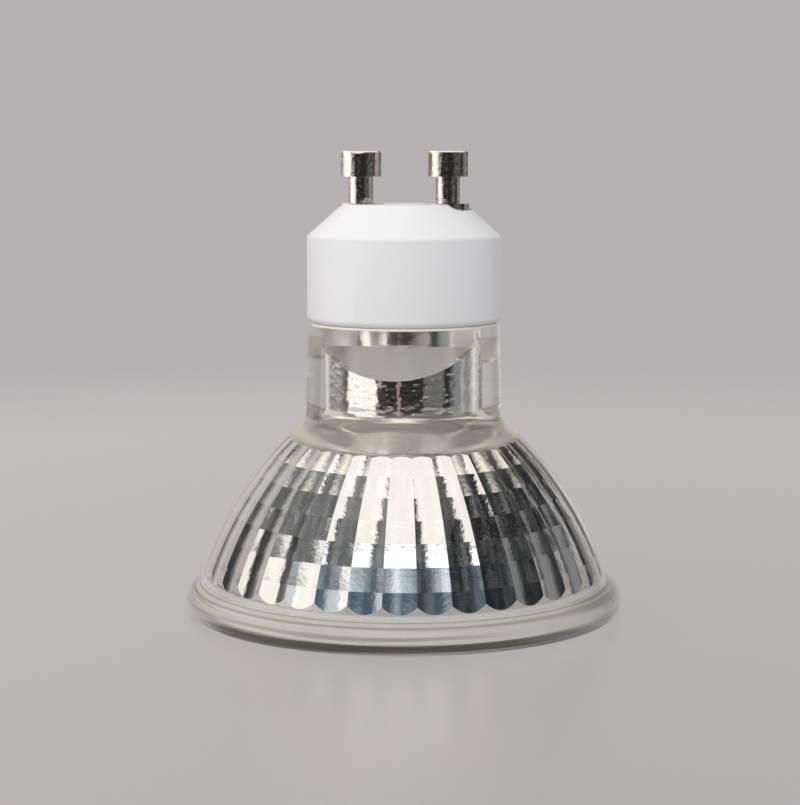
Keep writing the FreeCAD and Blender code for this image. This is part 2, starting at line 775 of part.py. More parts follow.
def make_filament():
    """A coil of tungsten wire on the lamp's axis."""
    helix = doc.addObject("Part::Helix", "filament_path")
    helix.setExpression("Pitch", s.coil_pitch.formula)
    helix.setExpression("Height", (s.coil_pitch * s.coil_turns).formula)
    helix.setExpression("Radius", s.coil_radius.formula)
    helix.setExpression("Placement.Base.z", coil_low.formula)
    section = doc.addObject("Part::Circle", "filament_section")
    section.setExpression("Radius", s.coil_wire_radius.formula)
    section.Placement = Placement(Vector(0, 0, 0), Rotation(Vector(1, 0, 0), 90))
    section.setExpression("Placement.Base.x", s.coil_radius.formula)
    section.setExpression("Placement.Base.z", coil_low.formula)
    doc.recompute()
    coil = doc.addObject("Part::Sweep", "filament")
    coil.Label = "filament"
    coil.Sections = [section]
    coil.Spine = (helix, [f"Edge{number + 1}" for number in range(len(helix.Shape.Edges))])
    coil.Solid = True
    coil.Frenet = True
    doc.recompute()
    return coil


def make_fuse_bead():
    """A glass bead with the fine fuse wire in it, on the level run of the right lead."""
    middle = pin_x / 2 + rod_x / 2
    bead = doc.addObject("Part::Cylinder", "fuse_bead_blank")
    hole = doc.addObject("Part::Cylinder", "fuse_bead_hole")
    for part, radius in ((bead, s.fuse_radius), (hole, s.lead_radius)):
        part.setExpression("Radius", radius.formula)
        part.setExpression("Height", s.fuse_length.formula)
        part.Placement = Placement(Vector(0, 0, 0), Rotation(Vector(0, 1, 0), 90))
        part.setExpression("Placement.Base.x", (middle - s.fuse_length / 2).formula)
        part.setExpression("Placement.Base.z", lead_level.formula)
    return boolean("Part::Cut", "fuse_bead", bead, hole)


def make_burner_cement():
    """Cement in the slot of the glass end, with a low cap round the seal."""
    body = new_body("burner_cement")
    slot = new_sketch(body, "XY_Plane", neck_bore_end)
    rectangle(slot, s.pinch_width / 2 + s.pinch_gap, s.pinch_thickness / 2 + s.pinch_gap)
    pad(body, slot, s.end_floor)
    cap = new_sketch(body, "XY_Plane", spigot_top)
    disc(cap, s.cement_cap_radius)
    pad(body, cap, s.cement_cap)
    seal = new_sketch(body, "XY_Plane", pinch_top)
    rectangle(seal, s.pinch_width / 2, s.pinch_thickness / 2)
    pocket(body, seal, s.pinch_length)
    return body


def make_burner(blank, metal):
    """The seal is pressed round its foils and wires, so they are cut out of the quartz."""
    inside = doc.addObject("Part::MultiFuse", "seal_metal")
    inside.Shapes = metal
    doc.recompute()
    return boolean("Part::Cut", "burner_quartz", blank, inside)


def build():
    hollow = make_hollow("bowl_hollow", ZERO)
    coat_inside = make_hollow("coat_inside", s.coat_thickness)
    nodes = [boolean("Part::Cut", "reflector_glass", make_reflector_blank(), hollow)]
    nodes.append(make_mirror_coating(hollow, coat_inside))
    nodes += [make_front_glass(), make_front_sealant(), make_ceramic_base(), make_base_cement()]
    metal = []
    leg_gap = s.coil_wire_radius + s.leg_radius + s.coil_gap
    leg_levels = {"left": coil_top + leg_gap, "right": coil_low - leg_gap}
    for side, sign in SIDES:
        nodes.append(make_pin(side, sign))
        metal.append(make_foil(side, sign))
        metal.append(make_filament_leg(side, sign, leg_levels[side]))
        metal.append(make_lead_wire(side, sign))
    nodes += metal
    nodes += [make_filament(), make_fuse_bead(), make_burner_cement()]
    nodes.append(make_burner(make_burner_blank(), metal))
    return nodes


def check(nodes):
    for item in doc.Objects:
        if "Invalid" in item.State or "Error" in item.State:
            raise RuntimeError(f"{item.Label} has failed")
    for node in nodes:
        if node.Shape.isNull() or not node.Shape.isValid() or not node.Shape.Solids:
            raise RuntimeError(f"{node.Label} has no valid shape")


nodes = build()
doc.recompute()
check(nodes)
os.makedirs("parts", exist_ok=True)
for node in nodes:
    node.Shape.exportStep(f"parts/{node.Label}.step")
    print(node.Label, len(node.Shape.Solids), round(node.Shape.Volume, 2))
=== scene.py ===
# %% [markdown]
# A mains reflector lamp stands face down on its glass rim. Everything that shows is a finish of glass,
# silver, porcelain and nickel, so the lesson is mostly about clean surfaces and about what they mirror.
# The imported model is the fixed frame: every piece below is built on its sizes.

# %% Load the frame
import math

import bmesh
import bpy
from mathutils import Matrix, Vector


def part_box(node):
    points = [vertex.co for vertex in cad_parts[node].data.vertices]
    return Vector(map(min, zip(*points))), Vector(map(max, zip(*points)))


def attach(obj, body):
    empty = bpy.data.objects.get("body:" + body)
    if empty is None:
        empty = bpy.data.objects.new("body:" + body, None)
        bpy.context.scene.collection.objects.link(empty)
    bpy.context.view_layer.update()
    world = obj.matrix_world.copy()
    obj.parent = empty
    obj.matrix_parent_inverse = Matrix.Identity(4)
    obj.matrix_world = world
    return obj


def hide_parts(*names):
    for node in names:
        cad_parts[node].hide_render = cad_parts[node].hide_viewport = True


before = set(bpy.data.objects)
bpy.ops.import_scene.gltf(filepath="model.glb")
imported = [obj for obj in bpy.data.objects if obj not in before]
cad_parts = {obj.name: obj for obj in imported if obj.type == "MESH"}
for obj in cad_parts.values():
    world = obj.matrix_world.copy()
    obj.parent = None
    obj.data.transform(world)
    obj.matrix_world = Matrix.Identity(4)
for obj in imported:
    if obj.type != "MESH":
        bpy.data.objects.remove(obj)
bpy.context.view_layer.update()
MM = 0.001
print("nodes in the frame:", len(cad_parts))

# %% [markdown]
# The main sizes come from the frame's own boxes: the rim, the ceramic base and the silvering. Sizes inside
# the section, such as the dome's curve, can't be read from a box and are named here, in millimetres.

# %% Sizes


def node_box(name):
    low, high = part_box(name)
    return [value / MM for value in low], [value / MM for value in high]


_, GLASS_HIGH = node_box("reflector_glass")
BASE_LOW, BASE_HIGH = node_box("ceramic_base")
COAT_LOW, COAT_HIGH = node_box("mirror_coating")
DISC_LOW, DISC_HIGH = node_box("front_glass")

# Rim, with the step that holds the front glass
RIM_R = GLASS_HIGH[0]
RIM_LAND = 2.45
RIM_FLAT_INSET = 0.3
RABBET_R = RIM_R - RIM_LAND
RABBET_DEPTH = 2.6
RABBET_CHAMFER = 0.12
BEAD_HEIGHT = 2.5
BEAD_CURVE = 2.0
FLANGE_HEIGHT = 3.5
FLANGE_LIP = 1.72
DISC_R = DISC_HIGH[0]
DISC_CHAMFER = 0.3
SEALANT_LOW = 0.85
SEALANT_LAND = 1.2
SUNK = 0.03

# Bowl: the dome's curve outside, the flutes inside
DOME_CURVE = 39.1
DOME_Z = -7.8
DOME_R = RIM_R - FLANGE_LIP - math.sqrt(DOME_CURVE ** 2 - (FLANGE_HEIGHT - DOME_Z) ** 2)
GLASS_WALL = 2.0
INNER_CURVE = DOME_CURVE - GLASS_WALL
FLUTES = 36
HALF_FLUTE = math.pi / FLUTES
ROWS = 7
TOP_ANGLE = math.radians(45.86)
ROW_ANGLE = math.radians(4.07)
FLUTE_BULGE = 0.027
RING_HEIGHT = 4.45
RING_SLOPE = math.tan(math.radians(7.6))
CROWN_ANGLE = math.radians(32.3)
CROWN_MARGIN = 0.1
CROWN_ROUNDING = 1.5
COAT_END = COAT_LOW[2] - 0.2
FILM_OUTSIDE = 0.02
FILM_INSIDE = -0.10

# Neck and the glass end in the base
NECK_TOP_R = BASE_HIGH[0] - 0.15
NECK_LOW_R = NECK_TOP_R + 0.35
NECK_FILLET = 1.2
NECK_LENGTH = 10.5
SPIGOT_R = 9.2
SPIGOT_TOP = GLASS_HIGH[2]
SPIGOT_CHAMFER = 0.5
BORE_R = 6.0
BORE_END = COAT_HIGH[2]
BORE_ROUNDING = 0.8
NOTCH_WALL = 0.9
NOTCH_FLAT_HEIGHT = 2.0
NOTCH_RAMP = math.radians(38.9)
SLOT_LENGTH = 7.6
SLOT_WIDTH = 3.2
FILLET_RUN = NECK_LOW_R + NECK_FILLET - DOME_R
NECK_START = DOME_Z + math.sqrt((DOME_CURVE + NECK_FILLET) ** 2 - FILLET_RUN ** 2)
SHOULDER = NECK_START + NECK_LENGTH

# Counts of steps in the meshes, and the angle from which an edge stays sharp, in degrees
ROUND_COLUMNS = 288
FILM_STEPS = 10
GLASS_STEPS = 8
NECK_ROWS = 64
FILM_CREASE = 3.6
GLASS_CREASE = 14
RIM_CREASE = 20
BASE_CREASE = 24
PIN_CREASE = 28
INNER_CREASE = 30
print("neck from", round(NECK_START, 2), "to", round(SHOULDER, 2))

# %% [markdown]
# Most pieces are turned, so one helper lays a half section round the axis. Each column of points may have
# a section of its own, which is what the fluted bowl needs. Poles close on a single point.

# %% Meshes from sections


def arc_points(centre, radius, first, last, steps):
    """Points on an arc in the (across, up) plane, angles in degrees, both ends included."""
    points = []
    for step in range(steps + 1):
        angle = math.radians(first + (last - first) * step / steps)
        points.append((centre[0] + radius * math.cos(angle), centre[1] + radius * math.sin(angle)))
    return points


def lathe_mesh(name, sections, all_round=True):
    """Joins one closed section per column into a mesh. Each section lists (radius, height, angle)."""
    mesh = bpy.data.meshes.new(name)
    work = bmesh.new()
    columns = []
    for section in sections:
        columns.append([work.verts.new((r * math.cos(a) * MM, r * math.sin(a) * MM, z * MM))
                        for r, z, a in section])
    count = len(columns)
    rows = len(columns[0])
    for column in range(count if all_round else count - 1):
        here = columns[column]
        there = columns[(column + 1) % count]
        for row in range(rows):
            above = (row + 1) % rows
            work.faces.new((here[row], there[row], there[above], here[above]))
    bmesh.ops.remove_doubles(work, verts=work.verts, dist=1e-8)
    bmesh.ops.dissolve_degenerate(work, edges=work.edges, dist=1e-8)
    work.to_mesh(mesh)
    work.free()
    return mesh


def new_piece(name, mesh):
    piece = bpy.data.objects.new(name, mesh)
    bpy.context.scene.collection.objects.link(piece)
    return piece


def turned(name, profile):
    """A round piece from a closed outline of (radius, height) points."""
    sections = []
    for column in range(ROUND_COLUMNS):
        angle = 2 * math.pi * column / ROUND_COLUMNS
        sections.append([(r, z, angle) for r, z in profile])
    piece = new_piece(name, lathe_mesh(name, sections))
    face_outwards(piece)
    crease(piece, RIM_CREASE)
    return piece


def face_outwards(piece):
    work = bmesh.new()
    work.from_mesh(piece.data)
    bmesh.ops.recalc_face_normals(work, faces=work.faces)
    work.to_mesh(piece.data)
    work.free()


def crease(piece, degrees):
    """Smooth shading that breaks where two faces meet at more than this angle."""
    work = bmesh.new()
    work.from_mesh(piece.data)
    for face in work.faces:
        face.smooth = True
    for edge in work.edges:
        edge.smooth = len(edge.link_faces) == 2 and edge.calc_face_angle() < math.radians(degrees)
    work.to_mesh(piece.data)
    work.free()


def baked(piece):
    """Puts the modifiers' result in place of the piece's mesh, and leaves no modifier."""
    graph = bpy.context.evaluated_depsgraph_get()
    mesh = bpy.data.meshes.new_from_object(piece.evaluated_get(graph))
    piece.modifiers.clear()
    old = piece.data
    piece.data = mesh
    mesh.name = piece.name
    bpy.data.meshes.remove(old)


def cut_away(piece, cutter):
    """Takes the cutter's volume out of the piece."""
    tool = piece.modifiers.new("cut", "BOOLEAN")
    tool.operation = "DIFFERENCE"
    tool.solver = "EXACT"
    tool.object = cutter
    baked(piece)
    bpy.data.objects.remove(cutter)


def prism(name, corners, length, axis):
    """A bar whose end outline is given in the two directions across its axis, centred along it."""
    work = bmesh.new()
    ends = []
    for side in (-1, 1):
        along = side * length / 2
        ring = []
        for u, v in corners:
            place = (along, u, v) if axis == "x" else (u, along, v)
            ring.append(work.verts.new([value * MM for value in place]))
        ends.append(ring)
    work.faces.new(ends[0])
    work.faces.new(ends[1])
    for index in range(len(corners)):
        following = (index + 1) % len(corners)
        work.faces.new((ends[0][index], ends[0][following], ends[1][following], ends[1][index]))
    bmesh.ops.recalc_face_normals(work, faces=work.faces)
    mesh = bpy.data.meshes.new(name)
    work.to_mesh(mesh)
    work.free()
    return new_piece(name, mesh)


def finish_piece(piece, material, slot, *nodes):
    """Gives a piece its finish, and puts it in the place of the frame's nodes."""
    piece.data.materials.clear()
    piece.data.materials.append(material)
    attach(piece, "root")
    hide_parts(*nodes)
    print(piece.name, "faces:", len(piece.data.polygons))


# %% [markdown]
# Node trees are built with a few helpers, each of which adds one node and gives back its output. A socket
# takes a plain value or another node's output. Two node groups hold what several finishes share. The first
# is fine grain: a noise that gives a height for bump and a colour between two. The second is a mask by
# height and by distance from the axis.

# %% Node helpers and shared groups


def plug(tree, socket, value):
    """Links the socket where the value is another node's output, and sets it otherwise."""
    if isinstance(value, bpy.types.NodeSocket):
        tree.links.new(value, socket)
    else:
        socket.default_value = value


def math_node(tree, operation, *values):
    node = tree.nodes.new("ShaderNodeMath")
    node.operation = operation
    for index, value in enumerate(values):
        plug(tree, node.inputs[index], value)
    return node.outputs[0]


def vector_node(tree, operation, first, second=None):
    node = tree.nodes.new("ShaderNodeVectorMath")
    node.operation = operation
    plug(tree, node.inputs[0], first)
    if second is not None:
        plug(tree, node.inputs["Scale" if operation == "SCALE" else 1], second)
    return node.outputs["Value" if operation == "LENGTH" else "Vector"]


def color_mix(tree, factor, first, second):
    node = tree.nodes.new("ShaderNodeMix")
    node.data_type = "RGBA"
    plug(tree, node.inputs["Factor"], factor)
    plug(tree, node.inputs[6], first)
    plug(tree, node.inputs[7], second)
    return node.outputs[2]


def ramp_node(tree, value, low, high, first=0.0, last=1.0, kind="SMOOTHSTEP"):
    """Runs from the first number to the last while the value runs from low to high."""
    node = tree.nodes.new("ShaderNodeMapRange")
    node.interpolation_type = kind
    for label, setting in (("Value", value), ("From Min", low), ("From Max", high),
                           ("To Min", first), ("To Max", last)):
        plug(tree, node.inputs[label], setting)
    return node.outputs["Result"]


def noise_node(tree, place, scale, detail, roughness=0.5):
    node = tree.nodes.new("ShaderNodeTexNoise")
    for label, value in (("Vector", place), ("Scale", scale), ("Detail", detail), ("Roughness", roughness)):
        plug(tree, node.inputs[label], value)
    return node.outputs["Fac"]


def split_vector(tree, vector):
    node = tree.nodes.new("ShaderNodeSeparateXYZ")
    tree.links.new(vector, node.inputs[0])
    return node.outputs


def group_node(tree, group, values):
    node = tree.nodes.new("ShaderNodeGroup")
    node.node_tree = group
    for label, value in values.items():
        plug(tree, node.inputs[label], value)
    return node


def new_group(name, inputs, outputs):
    """An empty group. Inputs are (label, kind, default), and outputs are (label, kind)."""
    tree = bpy.data.node_groups.new(name, "ShaderNodeTree")
    for label, kind, value in inputs:
        socket = tree.interface.new_socket(label, in_out="INPUT", socket_type=f"NodeSocket{kind}")
        if value is not None:
            socket.default_value = value
    for label, kind in outputs:
        tree.interface.new_socket(label, in_out="OUTPUT", socket_type=f"NodeSocket{kind}")
    return tree, tree.nodes.new("NodeGroupInput").outputs, tree.nodes.new("NodeGroupOutput").inputs


def make_grain_group():
    tree, given, result = new_group(
        "fine_grain",
        [("Vector", "Vector", None), ("Scale", "Float", 2000.0), ("Detail", "Float", 4.0),
         ("Stretch", "Vector", (1.0, 1.0, 1.0)),
         ("Low", "Color", (0.5, 0.5, 0.5, 1)), ("High", "Color", (0.6, 0.6, 0.6, 1))],
        [("Height", "Float"), ("Color", "Color")])
    place = vector_node(tree, "MULTIPLY", given["Vector"], given["Stretch"])
    noise = noise_node(tree, place, given["Scale"], given["Detail"])
    tree.links.new(noise, result["Height"])
    tree.links.new(color_mix(tree, noise, given["Low"], given["High"]), result["Color"])
    return tree


def make_zone_group():
    """A mask that rises from 0 to 1 over one span of height, and the same for distance from the axis."""
    tree, given, result = new_group(
        "zone_mask",
        [("Vector", "Vector", None), ("Low", "Float", 0.0), ("High", "Float", 0.001),
         ("Inner", "Float", 0.0), ("Outer", "Float", 0.001)],
        [("Height", "Float"), ("Radius", "Float")])
    height = split_vector(tree, given["Vector"])["Z"]
    radius = vector_node(tree, "LENGTH", vector_node(tree, "MULTIPLY", given["Vector"], (1, 1, 0)))
    for value, low, high, label in ((height, "Low", "High", "Height"), (radius, "Inner", "Outer", "Radius")):
        tree.links.new(ramp_node(tree, value, given[low], given[high]), result[label])
    return tree


GRAIN = make_grain_group()
ZONE_MASK = make_zone_group()
print("shared groups:", GRAIN.name, "and", ZONE_MASK.name)

# %% [markdown]
# Each finish is one Principled shader. Grain is added where a real surface has it. Masks by height and
# radius then say where the glass is a little rough, where moulding lines and two lines of painted shade cross
# the flange, and where the silver film is dull and thin, with a beige painted reflection on the crown.

# %% Finishes

LIGHT_SHARE = 0.92


def new_material(name, color, metallic=0.0, roughness=0.5, transmission=0.0, ior=1.45):
    material = bpy.data.materials.new(name)
    material.use_nodes = True
    for label, value in (("Base Color", (*color, 1)), ("Metallic", metallic), ("Roughness", roughness),
                         ("Transmission Weight", transmission), ("IOR", ior)):
        feed(material, label, value)
    return material


def feed(material, label, value):
    """Sets or links one input of the material's shader."""
    tree = material.node_tree
    plug(tree, tree.nodes["Principled BSDF"].inputs[label], value)


def object_place(tree):
    return tree.nodes.new("ShaderNodeTexCoord").outputs["Object"]


def add_grain(material, scale, strength, distance, stretch=(1, 1, 1), detail=3.0, colors=None, where=None):
    """Grain on Object coordinates: bump always, kept to a mask if one is given, and colour if two are."""
    tree = material.node_tree
    grain = group_node(tree, GRAIN, {"Scale": scale, "Detail": detail, "Stretch": stretch,
                                     "Vector": object_place(tree)})
    height = grain.outputs["Height"]
    bump = tree.nodes.new("ShaderNodeBump")
    bump.inputs["Strength"].default_value = strength
    bump.inputs["Distance"].default_value = distance
    plug(tree, bump.inputs["Height"], height if where is None else math_node(tree, "MULTIPLY", where, height))
    feed(material, "Normal", bump.outputs["Normal"])
    if colors:
        grain.inputs["Low"].default_value = (*colors[0], 1)
        grain.inputs["High"].default_value = (*colors[1], 1)
        feed(material, "Base Color", grain.outputs["Color"])
    return height


def zone(material, low, high, kind="Height"):
    """A mask socket: 0 below the first height or radius and 1 above the second, in millimetres."""
    tree = material.node_tree
    labels = ("Low", "High") if kind == "Height" else ("Inner", "Outer")
    mask = group_node(tree, ZONE_MASK, {labels[0]: low * MM, labels[1]: high * MM,
                                        "Vector": object_place(tree)})
    return mask.outputs[kind]


def below(material, low, high):
    """A mask that is 1 below the first height and 0 above the second."""
    return math_node(material.node_tree, "SUBTRACT", 1.0, zone(material, low, high))


def band(material, low, low_full, high_full, high):
    """A mask that is 1 between two heights."""
    tree = material.node_tree
    return math_node(tree, "SUBTRACT", zone(material, low, low_full), zone(material, high_full, high))


def weighted(tree, start, *shares):
    """A start value plus each mask times its weight."""
    total = start
    for mask, weight in shares:
        total = math_node(tree, "ADD", math_node(tree, "MULTIPLY", mask, weight), total)
    return total


def let_light_through(material):
    """Glass passes most of a shadow ray, so that what lies behind it is lit."""
    tree = material.node_tree
    path = tree.nodes.new("ShaderNodeLightPath")
    blocked = math_node(tree, "MULTIPLY", path.outputs["Is Shadow Ray"], -LIGHT_SHARE)
    feed(material, "Alpha", math_node(tree, "ADD", blocked, 1.0))


GLASS_COLOR = (0.99, 0.995, 0.985)
FLANGE_FADE = (3.1, 3.9)
FLANGE_ROUGHNESS = 0.18
# The notch faces lie inside the neck's skin and outside its bore
NOTCH_HEIGHTS = (26.0, 26.5, 33.05, 33.1)
NOTCH_INNER = (6.1, 6.3)
NOTCH_OUTER = (10.7, 10.85)
NOTCH_ROUGHNESS = 0.32
# Noise that is squeezed in height makes the fine lines, and two clear lines of painted shade are bands of
# their own
LINE_STRETCH = (20, 20, 1500)
LINE_NOISE = (0.53, 0.40)
PAINTED_SHADE_LINES = ((2.72, 2.80, 2.90, 2.98), (3.22, 3.28, 3.34, 3.40))
LINE_AND_SHADE_COLOR = (0.40, 0.39, 0.34)

clear_glass = new_material("clear_glass", GLASS_COLOR, roughness=0.0, transmission=1.0, ior=1.5)
pressed_glass = new_material("pressed_glass", GLASS_COLOR, roughness=0.0, transmission=1.0, ior=1.5)
quartz = new_material("quartz", (0.99, 0.99, 0.99), roughness=0.0, transmission=1.0, ior=1.46)
for material in (clear_glass, pressed_glass, quartz):
    let_light_through(material)


def finish_pressed_glass(material):
    tree = material.node_tree
    flange = below(material, *FLANGE_FADE)
    depth = math_node(tree, "SUBTRACT", zone(material, *NOTCH_INNER, "Radius"),
                      zone(material, *NOTCH_OUTER, "Radius"))
    notch = math_node(tree, "MULTIPLY", band(material, *NOTCH_HEIGHTS), depth)
    feed(material, "Roughness", weighted(tree, 0.0, (flange, FLANGE_ROUGHNESS), (notch, NOTCH_ROUGHNESS)))
    grain = add_grain(material, 1.0, 0.5, 0.00008, stretch=LINE_STRETCH, detail=5.0, where=flange)
    lines = math_node(tree, "MULTIPLY", flange, ramp_node(tree, grain, *LINE_NOISE))
    # The two clear lines darken the glass colour as painted shade
    for heights in PAINTED_SHADE_LINES:
        lines = math_node(tree, "ADD", lines, band(material, *heights))
    lines.node.use_clamp = True
    feed(material, "Base Color", color_mix(tree, lines, (*GLASS_COLOR, 1), (*LINE_AND_SHADE_COLOR, 1)))


SILVER_COLOR = (0.95, 0.94, 0.925)
SILVER_ROUGHNESS = 0.02
# The film is dull where it ends in the neck, and thin and dull on the smooth crown above the flutes, where
# its beige tint is a painted reflection
NECK_END = (32.2, 33.4)
NECK_END_ROUGHNESS = 0.5
CROWN_HEIGHTS = (18.9, 19.3, 22.8, 23.8)
CROWN_ROUGHNESS = 0.13
CROWN_DULLNESS = 0.25
CROWN_PAINTED_REFLECTION = (0.93, 0.885, 0.80)
# On the smooth ring below the flutes it is thin as well
RING_FADE = (3.25, 3.55)
RING_DULLNESS = 0.5


def finish_silvering(material):
    tree = material.node_tree
    add_grain(material, 2200.0, 0.35, 0.00003)
    crown = band(material, *CROWN_HEIGHTS)
    ring = below(material, *RING_FADE)
    neck_end = zone(material, *NECK_END)
    feed(material, "Roughness", weighted(tree, SILVER_ROUGHNESS, (neck_end, NECK_END_ROUGHNESS),
                                         (crown, CROWN_ROUGHNESS)))
    feed(material, "Metallic", weighted(tree, 1.0, (crown, -CROWN_DULLNESS), (ring, -RING_DULLNESS)))
    # The crown's beige colour is a painted reflection of the ceramic above
    feed(material, "Base Color", color_mix(tree, crown, (*SILVER_COLOR, 1), (*CROWN_PAINTED_REFLECTION, 1)))


finish_pressed_glass(pressed_glass)
silvering = new_material("silvering", SILVER_COLOR, metallic=1.0, roughness=0.03)
finish_silvering(silvering)
porcelain = new_material("porcelain", (0.74, 0.75, 0.76), roughness=0.42)
add_grain(porcelain, 3500.0, 0.15, 0.00003, colors=((0.72, 0.728, 0.738), (0.75, 0.758, 0.768)))
cement = new_material("cement", (0.85, 0.81, 0.74), roughness=0.9)
add_grain(cement, 4000.0, 0.6, 0.00008, colors=((0.80, 0.75, 0.67), (0.90, 0.87, 0.81)))
sealant = new_material("sealant", (0.84, 0.82, 0.76), roughness=0.4)
add_grain(sealant, 1500.0, 0.3, 0.00005, colors=((0.80, 0.78, 0.70), (0.88, 0.86, 0.80)))
nickel = new_material("nickel_plate", (0.84, 0.80, 0.74), metallic=1.0, roughness=0.13)
add_grain(nickel, 3200.0, 0.9, 0.00005, stretch=(1, 1, 0.6),
          colors=((0.72, 0.68, 0.62), (0.96, 0.92, 0.86)))
tungsten = new_material("tungsten", (0.35, 0.35, 0.37), metallic=1.0, roughness=0.35)
molybdenum = new_material("molybdenum", (0.55, 0.54, 0.53), metallic=1.0, roughness=0.3)
nickel_wire = new_material("nickel_wire", (0.66, 0.63, 0.58), metallic=1.0, roughness=0.25)
print("finishes:", len(bpy.data.materials), "materials in the file")

# %% [markdown]
# The silvered bowl is the piece that needs most care. In plan each flute is an arc that bulges towards the
# axis. In section the bowl is a row of straight steps between levels on the dome's curve. A smooth ring
# below and a smooth cone above cut the flutes off, which gives their U-shaped ends. One flute is worked out
# column by column, with a point exactly where the cuts cross, and Geometry Nodes repeat it round the axis.

# %% One flute of the bowl


def level_place(row, skin):
    """Height and corner radius of a facet level. The skin shifts the surface outwards."""
    angle = TOP_ANGLE - ROW_ANGLE * row
    curve = INNER_CURVE + skin
    return DOME_Z + curve * math.sin(angle), DOME_R + curve * math.cos(angle)


def flute_point(corner_r, share):
    """Radius and angle on one flute's arc: the share runs from -1 to 1 across the flute."""
    width = 2 * corner_r * math.sin(HALF_FLUTE)
    sag = FLUTE_BULGE * width
    curve = ((width / 2) ** 2 + sag ** 2) / (2 * sag)
    sweep = math.asin(width / 2 / curve) * share
    outwards = corner_r * math.cos(HALF_FLUTE) - sag + curve * (1 - math.cos(sweep))
    across = curve * math.sin(sweep)
    return math.hypot(outwards, across), math.atan2(across, outwards)


def crossing(levels, radii, blank):
    """Height where the stepped flute meets a cone given as radius(height), from the top down."""
    for index in range(len(levels) - 1):
        above = radii[index] - blank(levels[index])
        under = radii[index + 1] - blank(levels[index + 1])
        if above * under <= 0:
            return levels[index] + (levels[index + 1] - levels[index]) * above / (above - under)
    return levels[-1]


def flute_radius(levels, radii, height):
    for index in range(len(levels) - 1):
        if levels[index] >= height >= levels[index + 1]:
            part = (levels[index] - height) / (levels[index] - levels[index + 1])
            return radii[index] + (radii[index + 1] - radii[index]) * part
    return radii[-1] if height < levels[-1] else radii[0]


def bowl_column(share, skin):
    """One column of the silvered hollow, from its lower end up to the closed end of the neck."""
    # Two levels above and below the rows are there for the cuts to cross
    places = [level_place(row, skin) for row in range(-2, ROWS + 2)]
    levels = [z for z, _ in places]
    radii = [flute_point(r, share)[0] for _, r in places]
    turn = flute_point(places[0][1], share)[1]
    ring_r = DOME_R + math.sqrt(INNER_CURVE ** 2 - (RING_HEIGHT - DOME_Z) ** 2) + skin
    crown_z, crown_r = level_place(0, 0)
    crown_r += skin / math.sin(CROWN_ANGLE) - CROWN_MARGIN
    crown_slope = math.tan(CROWN_ANGLE)

    def ring(z):
        return ring_r - (z - RING_HEIGHT) * RING_SLOPE

    def crown(z):
        return crown_r - (z - crown_z) / crown_slope

    # The crossing is looked for in the lowest levels, or a step higher where the ring is already inside
    # the flute at the top of the last row
    span = slice(ROWS, None) if ring(levels[ROWS + 1]) > radii[ROWS + 1] else slice(ROWS - 1, ROWS + 2)
    low = max(crossing(levels[span], radii[span], ring), COAT_END)
    high = crossing(levels[:4], radii[:4], crown)
    column = [(ring(COAT_END), COAT_END), (flute_radius(levels, radii, low), low)]
    for level in reversed(levels[2:ROWS + 2]):
        z = min(max(level, low), high)
        column.append((flute_radius(levels, radii, z), z))
    column.append((crown(high), high))
    # The rounding between the crown's cone and the neck hollow touches both
    bore = BORE_R + skin
    rounding = CROWN_ROUNDING - skin
    slope = math.degrees(CROWN_ANGLE)
    half_turn = math.radians((90 - slope) / 2)
    meet_z = crown_z + (crown_r - bore) * crown_slope
    centre = (bore + rounding, meet_z + rounding * math.tan(half_turn))
    column += arc_points(centre, rounding, 270 - slope, 180, 12)
    end_z = BORE_END + skin - BORE_ROUNDING
    for step in range(1, NECK_ROWS):
        column.append((bore, centre[1] + (end_z - centre[1]) * step / NECK_ROWS))
    column += arc_points((bore - BORE_ROUNDING, end_z), BORE_ROUNDING, 0, 90, 6)
    return [(r, z, turn) for r, z in column]


def make_flute_strip():
    """One flute as a closed shell: outer skin, inner skin and the edge between them."""
    sections = []
    for step in range(FILM_STEPS + 1):
        share = -1 + 2 * step / FILM_STEPS
        shell = bowl_column(share, FILM_OUTSIDE) + [(0, BORE_END + FILM_OUTSIDE, 0)]
        shell += [(0, BORE_END + FILM_INSIDE, 0)] + bowl_column(share, FILM_INSIDE)[::-1]
        sections.append([(r, z, a + HALF_FLUTE) for r, z, a in shell])
    return new_piece("flute_strip", lathe_mesh("flute_strip", sections, all_round=False))


bowl = make_flute_strip()
print("one flute:", len(bowl.data.polygons), "faces")

# %% [markdown]
# The tree takes one flute and a count. It makes that many points on the axis, places the flute on each with
# its own turn, realises the copies and joins their edges. Then it pushes the neck's film outwards by a
# faint noise, because a pressed neck never mirrors straight lines. Last, it sets the finish.

# %% Repeat the flute round the axis

JOIN_DISTANCE = 1e-6
RIPPLE_DEPTH = 0.06 * MM
RIPPLE_FADE = 1.2 * MM
RIPPLE_FROM = 22.8 * MM
RIPPLE_TO = 33.6 * MM
RIPPLE_DENSITY = (900, 900, 2100)


